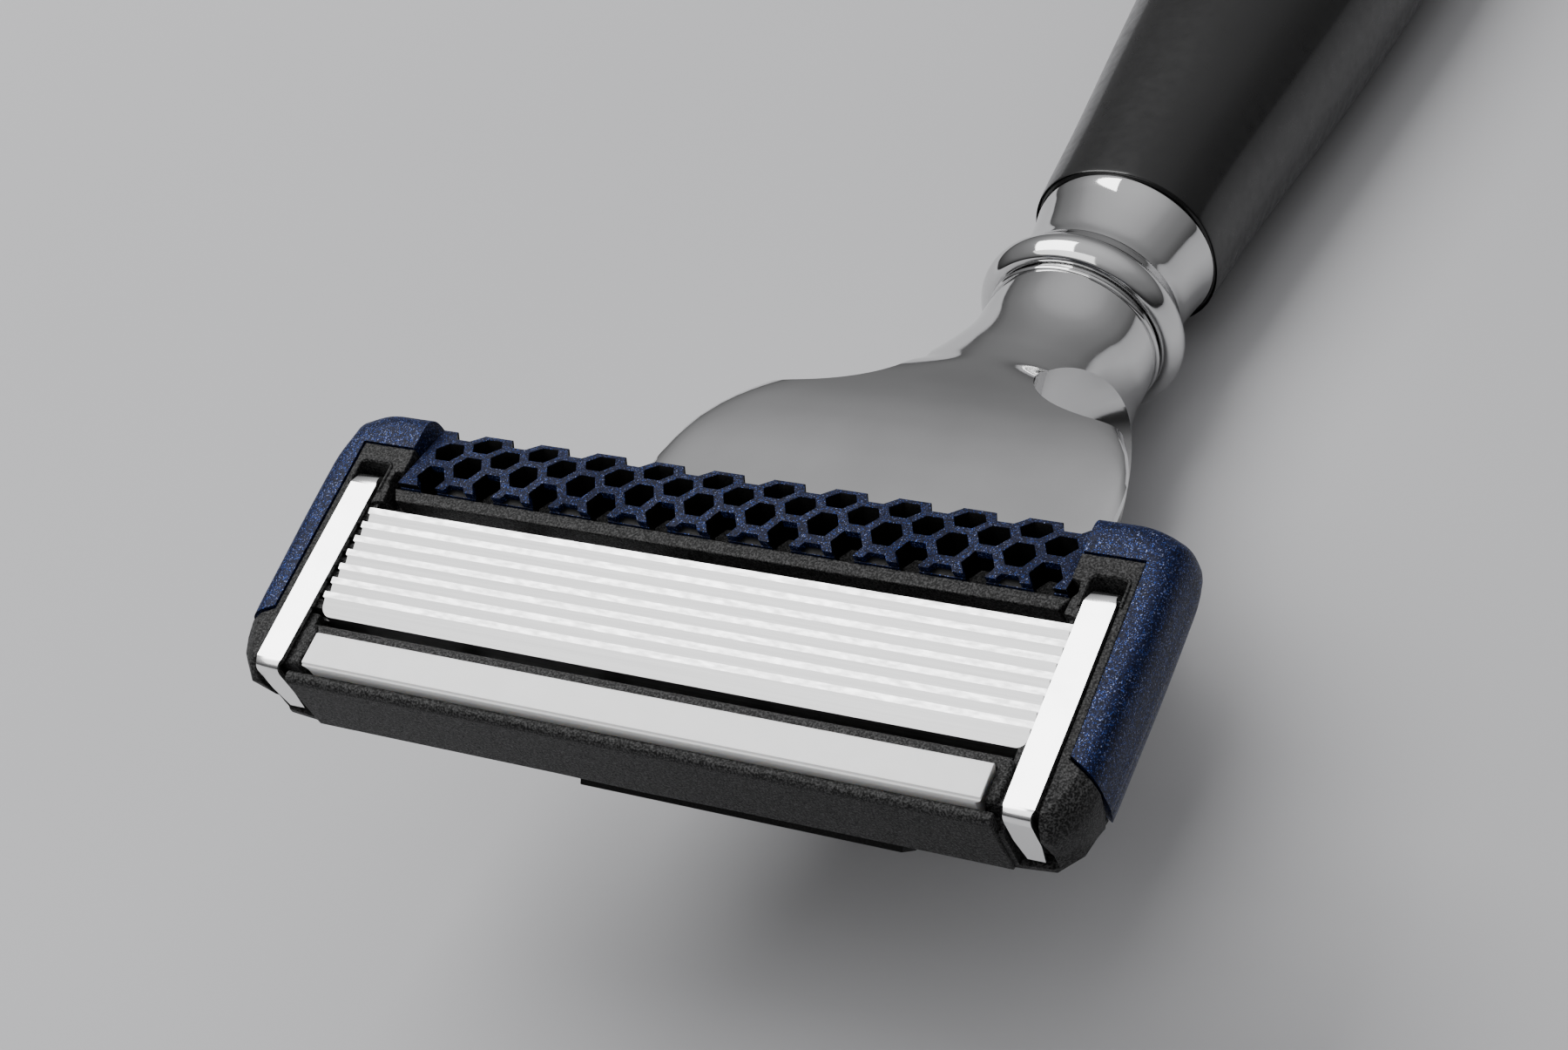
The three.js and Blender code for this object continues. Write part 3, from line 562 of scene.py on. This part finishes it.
def nose(side):
    """The faceted corner under a side pad: a flat top, then flanks that run flush with the rim."""
    root = [(19.12, -2.8), (19.5, -2.5), (20.25, -3.15), (20.0, -3.8), (19.7, -4.3), (19.3, -4.7),
            (19.12, -4.8)]
    low = [(19.12, -2.8), (19.5, -2.42), (20.6, -3.12), (20.4, -3.9), (20.1, -4.6), (19.5, -5.3),
           (19.12, -5.4)]
    foot = [(19.12, -2.8), (19.5, -2.42), (20.78, -3.12), (20.62, -3.9), (20.3, -4.8), (19.55, -5.65),
            (19.12, -5.65)]
    middle = [(19.12, -2.8), (19.5, -2.42), (20.6, -3.02), (20.4, -3.85), (20.05, -4.7),
              (19.42, -5.35), (19.12, -5.35)]
    top = [(19.12, -2.8), (19.5, -2.42), (20.1, -2.78), (19.88, -3.7), (19.5, -4.6), (19.2, -4.98),
           (19.12, -4.98)]
    levels = ((root, -4.0), (low, -2.6), (foot, -1.2), (middle, -0.5), (top, PAD_TOP))
    rings = [[(side * u, v, n) for u, v in ring] for ring, n in levels]
    return rounded(skin(rings), 0.07)


def channel_floor(side):
    """The floor under a clip, combed where the blade supports pass."""
    outline = [(WINDOW_HALF + 0.02, -4.88), (19.2, -4.88), (19.2, 4.4), (WINDOW_HALF + 0.02, 4.1)]
    outline = [(side * u, v) for u, v in outline]
    floor = slab(outline, BASE_TOP - 0.15, CHANNEL_FLOOR - 0.005, 0.05)
    combs = []
    for k in range(BLADE_COUNT):
        leg = blade_edge(k) - 0.9
        u = sorted((side * (WINDOW_HALF - 0.2), side * 18.35))
        combs.append(block(u, (leg - 0.16, leg + 0.16), (-4, 1)))
    return cut(floor, *combs)


def cross_bars():
    """Bars of the housing that run along the blades."""
    guard_bar = slab(
        [(-16.85, 4.86), (-16.5, 4.2), (16.5, 4.2), (16.85, 4.86)], -2.5, -0.35, 0.07
    )
    strip_bar = slab(
        [(-16.9, -3.27), (16.9, -3.27), (17.2, -2.72), (-17.2, -2.72)], -2.0, -0.25, 0.1
    )
    profile = [
        (-5.75, -4.0), (-5.75, -0.52), (-5.62, -0.27), (-5.4, -0.2), (-5.2, -0.25), (-5.2, -1.6),
        (-5.2, -4.0),
    ]
    front = slab(profile, -17.25, 17.25, 0.09, "x")
    ridges = [
        slab(side, BASE_TOP - 0.2, -0.06, 0.16)
        for side in both([(16.72, -5.0), (17.32, -4.85), (17.42, -3.0), (16.95, -2.75), (16.72, -3.2)])
    ]
    return [guard_bar, strip_bar, front, *ridges]


def housing():
    base = copied("housing", FACE)
    above = block((-30, 30), (-30, 30), (BASE_TOP, 5))
    partings = [
        prism(side, -9, 5) for side in both([(19.46, -2.3), (20.7, -3.1), (23, -2), (19.5, 1)])
    ]
    base = rounded(cut(base, above, *partings), 0.06)
    pads = [cut(pad, lane) for pad, lane in zip(side_pads(), clip_lanes())]
    solids = [*pads, *slot_lips(), *cross_bars()]
    solids += [nose(side) for side in (1, -1)] + [channel_floor(side) for side in (1, -1)]
    return piece(combined(base, solids), "housing_frame", FACE, "cartridge",
                 [PLASTIC], ["housing"])


def trim_arm(side):
    """One arm of the soft rim, from its slanted lower end round the corner to the guard."""
    inner = [
        (19.53, -2.3), (19.53, -1.5), (19.53, 0.5), (19.53, 2.5), (19.53, 4.5), (19.53, 6.2),
        (19.53, 6.93), (19.53, 6.93), (19.53, 6.93), (19.0, 6.93), (17.8, 6.93), (16.72, 6.93),
    ]
    outer = [
        (20.76, -2.98), (20.82, -2.0), (20.9, 0.5), (20.97, 2.4), (21.0, 4.3), (21.0, 6.2),
        (20.97, 7.6), (20.72, 8.45), (20.0, 8.85), (19.0, 8.95), (17.8, 8.95), (16.72, 8.95),
    ]
    lower = [(1.0, -2.6), (0.97, -2.9), (0.9, -3.02), (0.89, -3.2), (0.87, -3.4), (0.76, -3.85),
             (0.66, -4.2), (0.6, -4.27), (0.0, -4.27)]
    rings = []
    for near, far in zip(straight_through(inner, 8), curve_through(outer, 8)):
        corner = smoothstep(far.y, 5.5, 7.8) * smoothstep(far.x, 18.6, 20.4)
        power = 4.2 + 0.8 * smoothstep(-far.x, -20, -18) - 1.5 * corner
        arc = [math.radians(90 * k / 18) for k in range(19)]
        flank = [
            (math.sin(a) ** (2 / power), -0.03 - 2.35 * (1 - max(math.cos(a), 0) ** (2 / power)))
            for a in arc
        ]
        rings.append([
            (side * (near.x + (far.x - near.x) * w), near.y + (far.y - near.y) * w, n)
            for w, n in flank + lower
        ])
    return skin(rings)


def trim():
    bridge = slab(
        [(-16.8, 8.33), (16.8, 8.33), (16.8, 8.56), (-16.8, 8.56)], -3.6, -2.5, 0.05
    )
    return piece(combined(bridge, [trim_arm(1), trim_arm(-1)]), "rim_overmould", FACE, "cartridge",
                 [RUBBER], ["blue_trim"])


def guard_cells(rows, low):
    """Six sided cells with their corners along u, as one cutter. rows are v places."""
    side = HEX_PITCH / 3
    radius = side - HEX_WALL / 2 / math.cos(math.pi / 6)
    points, faces = [], []
    for row, v in rows:
        count = 11 if row % 2 == 0 else 10
        for i in range(count):
            u = (i - (count - 1) / 2) * HEX_PITCH + HEX_SHIFT
            start = len(points)
            rim = circle(radius, (u, v), 6)
            points += [(x, y, n) for n in (low, 2) for x, y in rim]
            faces += [tuple(range(start, start + 6)), tuple(range(start + 6, start + 12))]
            for j in range(6):
                k = (j + 1) % 6
                faces.append((start + j, start + k, start + 6 + k, start + 6 + j))
    return mesh_object(points, faces)


def guard_row(row):
    return row, HEX_FIRST_V + row * HEX_PITCH / 3 * math.sin(math.pi / 3)


def over_back(s):
    """Place and slope of the guard's face at s along it: flat, then curving down to the rear."""
    slopes = [(5.7, 0), (6.4, 12), (7.2, 20), (8.1, 29), (9.5, 34)]
    v, n, here, step = 4.0, 0.0, 4.0, 0.02

    def slope(at):
        for (s0, a0), (s1, a1) in zip(slopes, slopes[1:]):
            if at < s1:
                return math.radians(a0 + (a1 - a0) * max(at - s0, 0) / (s1 - s0))
        return math.radians(slopes[-1][1])

    while here < s:
        size = min(step, s - here)
        middle = slope(here + size / 2)
        v, n, here = v + size * math.cos(middle), n - size * math.sin(middle), here + size
    return v, n, slope(s)


def guard_layer(front, rear, low, high, rows, width):
    """One flat layer of the guard, cut by its cells and bent over the guard's back."""
    outline = [(front, low), (rear, low), (rear, high), (front, high)]
    layer = prism(outline, *GUARD_U, "x")
    layer = rounded(cut(layer, guard_cells([guard_row(row) for row in rows], -4)), width)
    for vertex in layer.data.vertices:
        u, s, height = vertex.co
        v, n, slope = over_back(s)
        vertex.co = (u, v + height * math.sin(slope), n + height * math.cos(slope))
    return layer


def guard():
    """Walls that stand above a floor; the outermost cells are open to the edges."""
    walls = guard_layer(4.97, 9.08, -0.75, 0, range(-1, 5), 0.06)
    base = guard_layer(4.92, 9.02, -1.25, -0.36, range(4), 0.03)
    made = piece(combined(base, [walls]), "guard_comb", FACE, "cartridge",
                 [RUBBER, PAINTED_LIGHT_RUBBER, PAINTED_SHADE], ["honeycomb_guard"])
    to_face = FACE.inverted()
    up = to_face.to_3x3()
    for polygon in made.data.polygons:
        centre = to_face @ polygon.center
        faces_up = (up @ polygon.normal).normalized().z > 0.75
        s = 4.0 + (centre.y - 4.0) * 1.035
        shallow = centre.z > over_back(s)[1] - 0.25
        # Painted light and shade: upward faces on top get the lighter rubber copy, deep faces behind the
        # front edge get near-black painted shade, and the walls keep the plain, darker rubber.
        polygon.material_index = 1 if faces_up and shallow else 0 if shallow or s < 5 else 2
    return made


def clip(side):
    """A bent strip of bright metal that holds the blade pack down."""
    path = filleted([(-5.33, -3.3), (-5.33, -0.075), (5.28, -0.075), (5.28, -3.945), (6.72, -3.945)],
                    [0.42, 0.7, 0.25], 9)
    path = [p for a, b in zip(path, path[1:]) for p in (a, a.lerp(b, 0.5))] + [path[-1]]
    rings = []
    for i, here in enumerate(path):
        along = (path[min(i + 1, len(path) - 1)] - path[max(i - 1, 0)]).normalized()
        out = Vector((-along.y, along.x)) * CLIP_THICK / 2
        front = smoothstep(-here.x, 4.75, 5.2) * 0.12 + smoothstep(-here.y, 2.9, 3.3) * (here.x < 0) * 0.2
        rear = smoothstep(here.x, 4.5, 5.0) * 0.14
        half = 0.72 - front - rear
        ring = [(half, out), (-half, out), (-half, -out), (half, -out)]
        rings.append([(side * CLIP_U + u, (here + o).x, (here + o).y) for u, o in ring])
    name = "right" if side > 0 else "left"
    return piece(rounded(skin(rings), 0.045), f"{name}_clip_band", FACE, "cartridge",
                 [CLIP], [f"{name}_clip"])


def strip():
    profile = [
        (-5.08, -1.2), (-3.37, -1.2), (-3.37, 0.22), (-3.45, 0.3), (-4.97, 0.29), (-5.0, 0.17),
        (-5.08, 0.15), (-5.1, 0.0),
    ]
    bar = prism(profile, -16.35, 16.75, "x")
    for vertex in bar.data.vertices:
        if vertex.co.z < 0.14:
            vertex.co.x -= math.copysign(0.3, vertex.co.x)
    bar = rounded(bar, 0.03, 2, 20)
    return piece(bar, "glide_strip", FACE, "cartridge", [STRIP], ["lubricating_strip"])


def blade(k):
    """A thin plate: a ground bevel towards the guard, slightly longer than the body behind it."""
    long_half, half, shift = 17.45, 17.33, 0.15
    corner = 0.5 if k == BLADE_COUNT - 1 else 0.08
    steps = [math.radians(90 * i / 6) for i in range(7)]
    arc = [
        (half - corner + corner * math.cos(t), BLADE_WIDTH - corner + corner * math.sin(t)) for t in steps
    ]
    right = [(long_half, BLADE_BEVEL), (half, BLADE_BEVEL + 0.05), *arc]
    rim = right + [(-u, a) for u, a in reversed(right)]
    count = len(rim)

    def placed(u, along, out):
        v = blade_edge(k) - along * math.cos(BLADE_TILT) - out * math.sin(BLADE_TILT)
        return u + shift, v, -along * math.sin(BLADE_TILT) + out * math.cos(BLADE_TILT)

    points = [placed(u, a, out) for out in (BLADE_THICK / 2, -BLADE_THICK / 2) for u, a in rim]
    points += [placed(-long_half, 0, 0), placed(long_half, 0, 0)]
    left_tip, right_tip = 2 * count, 2 * count + 1
    faces = [tuple(range(count)), tuple(range(2 * count - 1, count - 1, -1))]
    faces += [(i, i + 1, count + i + 1, count + i) for i in range(count - 1)]
    faces += [(0, count, right_tip), (count - 1, 2 * count - 1, left_tip)]
    faces += [(left_tip, right_tip, 0, count - 1), (left_tip, right_tip, count, 2 * count - 1)]
    obj = mesh_object(points, faces)
    made = piece(obj, f"blade_{k + 1}_honed", FACE, "cartridge", [BLADE, EDGE],
                 [f"blade_{k + 1}"], 8)
    for polygon in list(made.data.polygons)[-2:]:
        polygon.material_index = 1
    return made


# ------------------------------------------------------------------ mechanism
def softened(node, name, place, body, material, width):
    """A CAD piece with its edges rounded as a moulding's are."""
    return piece(rounded(copied(node, place), width), name, place, body, [material], [node])


def along_plunger(along):
    """A point on the plunger's axis, counted from its tip into the neck."""
    y = PIVOT.y - 1.0 + along * math.cos(PLUNGER_TILT)
    return Vector((0, y, PIVOT.z - 2.6 - along * math.sin(PLUNGER_TILT)))


def spring(name, node, start, end, radius, wire, turns):
    """A wound spring, tighter at its ends and middle, that shortens towards its far end."""
    axis = (end - start).normalized()
    side = Vector((1, 0, 0))
    up = axis.cross(side)
    steps = turns * 28
    length = (end - start).length
    rings = []
    for i in range(steps + 1):
        t = i / steps
        angle = 2 * math.pi * turns * t
        ease = t - math.sin(4 * math.pi * t) / (4 * math.pi) * 0.35
        centre = start + axis * (wire + (length - 2 * wire) * ease)
        out = side * math.cos(angle) + up * math.sin(angle)
        rings.append([centre + out * (radius + a) + axis * b for a, b in circle(wire, (0, 0), 12)])
    made = piece(skin(rings), name, RAZOR, "handle", [STEEL], [node])
    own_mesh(made)
    return made


def springs():
    spring("plunger_spring_coil", "plunger_spring", along_plunger(7.05), along_plunger(10.55),
           0.85, 0.12, 4)
    spring("button_spring_coil", "button_spring", Vector((0, 22.55, -16)), Vector((0, 16.55, -16)),
           0.7, 0.12, 6)


# ------------------------------------------------------------------ neck and handle
SCOOP_STATIONS = [
    (SCOOP_FRONT, 11.6, -7.8, -15.6), (10.5, 12.3, -7.6, -15.8), (14.5, 12.6, -7.5, -16.2),
    (18.0, 12.4, -7.5, -16.8), (20.0, 12.0, -7.55, -17.2), (21.9, 11.25, -7.7, -17.7),
    (23.6, 10.3, -7.95, -18.2), (25.4, 9.35, -8.4, -18.7), (28.0, 8.1, -9.2, -19.4),
    (31.5, 6.05, -10.2, -20.3), (34.8, 4.95, -10.95, -20.6), (NECK_END, 4.8, AXIS_Z + 4.8, AXIS_Z - 4.8),
]


def dimple(side):
    """A thumb shaped hollow in the flank of the neck."""
    turn = Matrix.Rotation(DIMPLE_YAW, 4, "Z") @ Matrix.Rotation(DIMPLE_ROLL, 4, "Y")
    wide, long, tall = DIMPLE_RADII
    bands = 60
    rings = []
    for i in range(bands + 1):
        polar = math.pi * i / bands
        ring = []
        for x, y in circle(math.sin(polar), (0, 0), 96):
            point = DIMPLE_CENTRE + turn @ Vector((x * wide, y * long, math.cos(polar) * tall))
            ring.append((side * point.x, point.y, point.z))
        rings.append(ring)
    return skin(rings)


def plunger_bore():
    start, end = along_plunger(-5), along_plunger(10.6)
    axis = (end - start).normalized()
    up = axis.cross(Vector((1, 0, 0)))
    ends = []
    for centre in (start, end):
        rim = circle(PLUNGER_BORE, (0, 0))
        ends.append([centre + Vector((a, 0, 0)) + up * b for a, b in rim])
    return skin(ends)


def scoop():
    """Square edged above at the head, then round at the neck."""

    def neck(y):
        return smoothstep(y, 17, 33)

    def powers(y):
        return 22 + (2 - 22) * smoothstep(y, 19.5, 29.5), 6 + (2 - 6) * neck(y)

    body = loft(SCOOP_STATIONS, 12, powers=powers, keel=lambda y: 0.6 + 0.4 * neck(y), count=72)
    body = cut(body, dimple(1), dimple(-1))
    boss = slab([(-2.6, 9.0), (2.6, 9.0), (2.6, 13.5), (-2.6, 13.5)], -9, -5.9, 0.12)
    tongue = slab([(-4.5, 3.4), (4.5, 3.4), (4.5, 8.2), (-4.5, 8.2)], -13.0, -9.4, 0.15)
    body = combined(body, [boss, tongue])
    rods = [
        prism(circle(EJECTOR_BORE, (u, EJECTOR_DROP), 32), 0, 17.5, "y")
        for u in (EJECTOR_U, -EJECTOR_U)
    ]
    rooms = [
        block((-1.7, 1.7), (0, 9.0), (-8.9, 0)),
        block((-3.45, 3.45), (16.5, 26.3), (-30, -13.0)),
        prism(circle(ROD_BORE, (0, AXIS_Z)), 30, NECK_END + 1, "y"),
        plunger_bore(),
    ]
    return piece(cut(body, *rods, *rooms), "scoop_neck", RAZOR, "handle", [CHROME],
                 ["neck_scoop"], 40)


def bead_ring():
    y0, y1 = RING_Y
    middle = (y0 + y1) / 2 - 0.2
    lip = [
        (y0, 4.5), (y0 + 0.02, 4.78), (y0 + 0.12, 4.88), (y0 + 0.24, 4.88), (y0 + 0.34, 4.78),
        (y0 + 0.38, 4.62),
    ]
    bead = curve_through([
        (y0 + 0.5, 4.6), (middle - 0.95, 5.22), (middle - 0.5, 5.6), (middle, 5.75),
        (middle + 0.5, 5.66), (middle + 0.95, 5.34), (y1 - 0.15, 5.0), (y1, 4.9),
    ], 6)
    profile = lip + [tuple(p) for p in bead]
    return piece(turned(profile, ROD_BORE), "bead_collar", RAZOR, "handle", [CHROME],
                 ["bead_ring"], 50)


def ferrule():
    y0, y1 = FERRULE_Y
    line = curve_through([
        (y0, 4.86), (y0 + 0.9, 4.75), (y0 + 2.2, 4.8), (y0 + 3.4, 4.95), (y1 - 0.2, 5.13),
        (y1 - 0.05, 5.1), (y1, 5.0),
    ], 6)
    return piece(turned([tuple(p) for p in line], ROD_BORE), "ferrule_collar", RAZOR, "handle",
                 [CHROME], ["ferrule"], 50)


def handle():
    y0, y1 = HANDLE_Y
    rows = [
        (y0, 5.0, 5.0, -5.0), (y0 + 0.15, 5.16, 5.16, -5.16), (y0 + 0.6, 5.3, 5.3, -5.3),
        (52, 5.7, 5.6, -5.6), (60, 6.5, 6.0, -6.2), (67, 7.15, 6.3, -6.7), (76, 7.85, 6.6, -7.0),
        (88, 8.2, 6.75, -7.0), (100, 8.0, 6.65, -6.9), (114, 7.3, 6.25, -6.7), (126, 6.6, 5.85, -6.3),
        (y1 - 0.4, 6.38, 5.72, -6.07), (y1, 6.2, 5.55, -5.9),
    ]
    stations = [(y, half, AXIS_Z + top, AXIS_Z + bottom) for y, half, top, bottom in rows]
    body = loft(stations, 9, floor=AXIS_Z - LAND_DROP)
    bore = prism(circle(CORE_R, (0, AXIS_Z), 64), y0 - 1, y1 + 1, "y")
    return piece(cut(body, bore), "lacquered_handle", RAZOR, "handle", [LACQUER],
                 ["handle_shell"], 30)


def end_cap():
    y0, y1 = CAP_Y
    rows = [
        (y0, 6.05, 5.45, -5.6), (y0 + 0.15, 6.22, 5.6, -5.75), (y0 + 0.5, 6.35, 5.7, -5.85),
        (y0 + 3.5, 6.2, 5.55, -5.75), (y0 + 6.0, 5.4, 4.9, -5.2), (y1 - 0.5, 3.6, 3.3, -3.5),
        (y1 - 0.12, 2.7, 2.5, -2.6), (y1, 2.0, 1.8, -1.9),
    ]
    stations = [(y, half, AXIS_Z + top, AXIS_Z + bottom) for y, half, top, bottom in rows]
    body = loft(stations, 9)
    rooms = [
        prism(circle(ROD_BORE, (0, AXIS_Z)), y0 - 1, 135.3, "y"),
        prism(circle(3.1, (0, AXIS_Z)), y0 - 1, 133.8, "y"),
    ]
    return piece(cut(body, *rooms), "domed_end_cap", RAZOR, "handle", [CHROME], ["end_cap"])


# ------------------------------------------------------------------ everything in place
def finish_cad(nodes, material):
    """CAD pieces whose shape is already right keep it and get a real finish."""
    for name in nodes:
        for place in frame["nodes"][name].material_slots:
            place.material = material


def build():
    housing()
    trim()
    guard()
    strip()
    for side in (1, -1):
        clip(side)
    for k in range(BLADE_COUNT):
        blade(k)
    softened("cradle", "cradle_body", RAZOR, "cradle", GLOSSY_PLASTIC, 0.12)
    softened("return_plunger", "plunger_nose", RAZOR, "plunger", GLOSSY_PLASTIC, 0.04)
    softened("release_button", "thumb_button", RAZOR, "button", PLASTIC, 0.1)
    for side in ("left", "right"):
        softened(f"{side}_pivot_pin", f"{side}_hinge_pin", RAZOR, "cradle", STEEL, 0.1)
    springs()
    scoop()
    bead_ring()
    ferrule()
    handle()
    end_cap()
    finish_cad([f"blade_support_{k + 1}" for k in range(BLADE_COUNT)], STEEL)
    finish_cad(["tang_rod", "tang_nut"], STEEL)
    finish_cad(["balance_weight"], BRASS)
    finish_cad(["front_plug"], GLOSSY_PLASTIC)
    finish_cad(["front_seal", "rear_seal"], SEAL)


# ------------------------------------------------------------------ camera, floor and light
def camera():
    """Looks down on the face from the lower right, as a product picture does."""
    data = bpy.data.cameras.new("camera")
    data.sensor_width = 36
    data.lens = 69.13
    data.clip_start = 0.005
    obj = bpy.data.objects.new("camera", data)
    bpy.context.scene.collection.objects.link(obj)
    right, up = Vector((0.8686, 0.3741, -0.3250)), Vector((-0.1367, 0.8113, 0.5684))
    turn = Matrix((right, up, right.cross(up))).transposed().to_4x4()
    obj.rotation_mode = "QUATERNION"
    obj.rotation_quaternion = (HEAD_TILT @ turn).to_quaternion()
    obj.location = FACE @ Vector((64.1, -51.5, 96.6))
    bpy.context.scene.camera = obj


def floor():
    half = 0.9
    corners = [(-half, -half, 0), (half, -half, 0), (half, half, 0), (-half, half, 0)]
    plane = mesh_object(corners, [(0, 1, 2, 3)])
    plane.name = "floor"
    made = Finish("floor_board", Roughness=0.75, Specular_IOR_Level=0.2)
    dark, light = (0.43, 0.43, 0.44), (0.47, 0.47, 0.48)
    made.drive("Base Color", made.ramp(made.noise(9), (0.3, dark), (0.7, light)))
    plane.data.materials.append(made.material)


def panel(name, x, y, height, radiance):
    """A level softbox above the razor: its x and y span from the head, and how bright it looks."""
    size = (x[1] - x[0], y[1] - y[0])
    head = FACE @ Vector((0, 0, 0))
    data = bpy.data.lights.new(name, "AREA")
    data.shape = "RECTANGLE"
    data.size, data.size_y = size
    data.energy = radiance * math.pi * size[0] * size[1]
    obj = bpy.data.objects.new(name, data)
    bpy.context.scene.collection.objects.link(obj)
    obj.location = head + Vector(((x[0] + x[1]) / 2, (y[0] + y[1]) / 2, height))
    obj.visible_camera = False
    return obj


def sky():
    """Dark at the horizon, bright overhead and a little brighter towards the handle's end."""
    world = bpy.data.worlds.new("studio")
    world.use_nodes = True
    nodes, links = world.node_tree.nodes, world.node_tree.links
    place = nodes.new("ShaderNodeTexCoord").outputs["Generated"]
    split = nodes.new("ShaderNodeSeparateXYZ")
    links.new(place, split.inputs["Vector"])
    ramp = nodes.new("ShaderNodeValToRGB")
    stops = [(0.0, 0.03), (0.15, 0.12), (0.3, 0.23), (0.45, 0.28), (0.62, 0.38), (0.74, 0.54), (1.0, 0.8)]
    elements = ramp.color_ramp.elements
    while len(elements) < len(stops):
        elements.new(0.5)
    for element, (position, grey) in zip(elements, stops):
        element.position = position
        element.color = (grey, grey, grey * 1.02, 1)
    lean = nodes.new("ShaderNodeMath")
    lean.operation = "MULTIPLY_ADD"
    lean.inputs[1].default_value = 0.2
    links.new(split.outputs["Y"], lean.inputs[0])
    links.new(split.outputs["Z"], lean.inputs[2])
    links.new(lean.outputs["Value"], ramp.inputs["Fac"])
    links.new(ramp.outputs["Color"], nodes["Background"].inputs["Color"])
    bpy.context.scene.world = world


def lights():
    height = 0.45
    panel("key", (-0.5, -0.08), (-0.09, 0.29), height, 6.5)
    panel("front", (-0.55, 0.1), (-0.5, -0.09), height, 1.8)
    sky()


camera()
floor()
lights()
build()
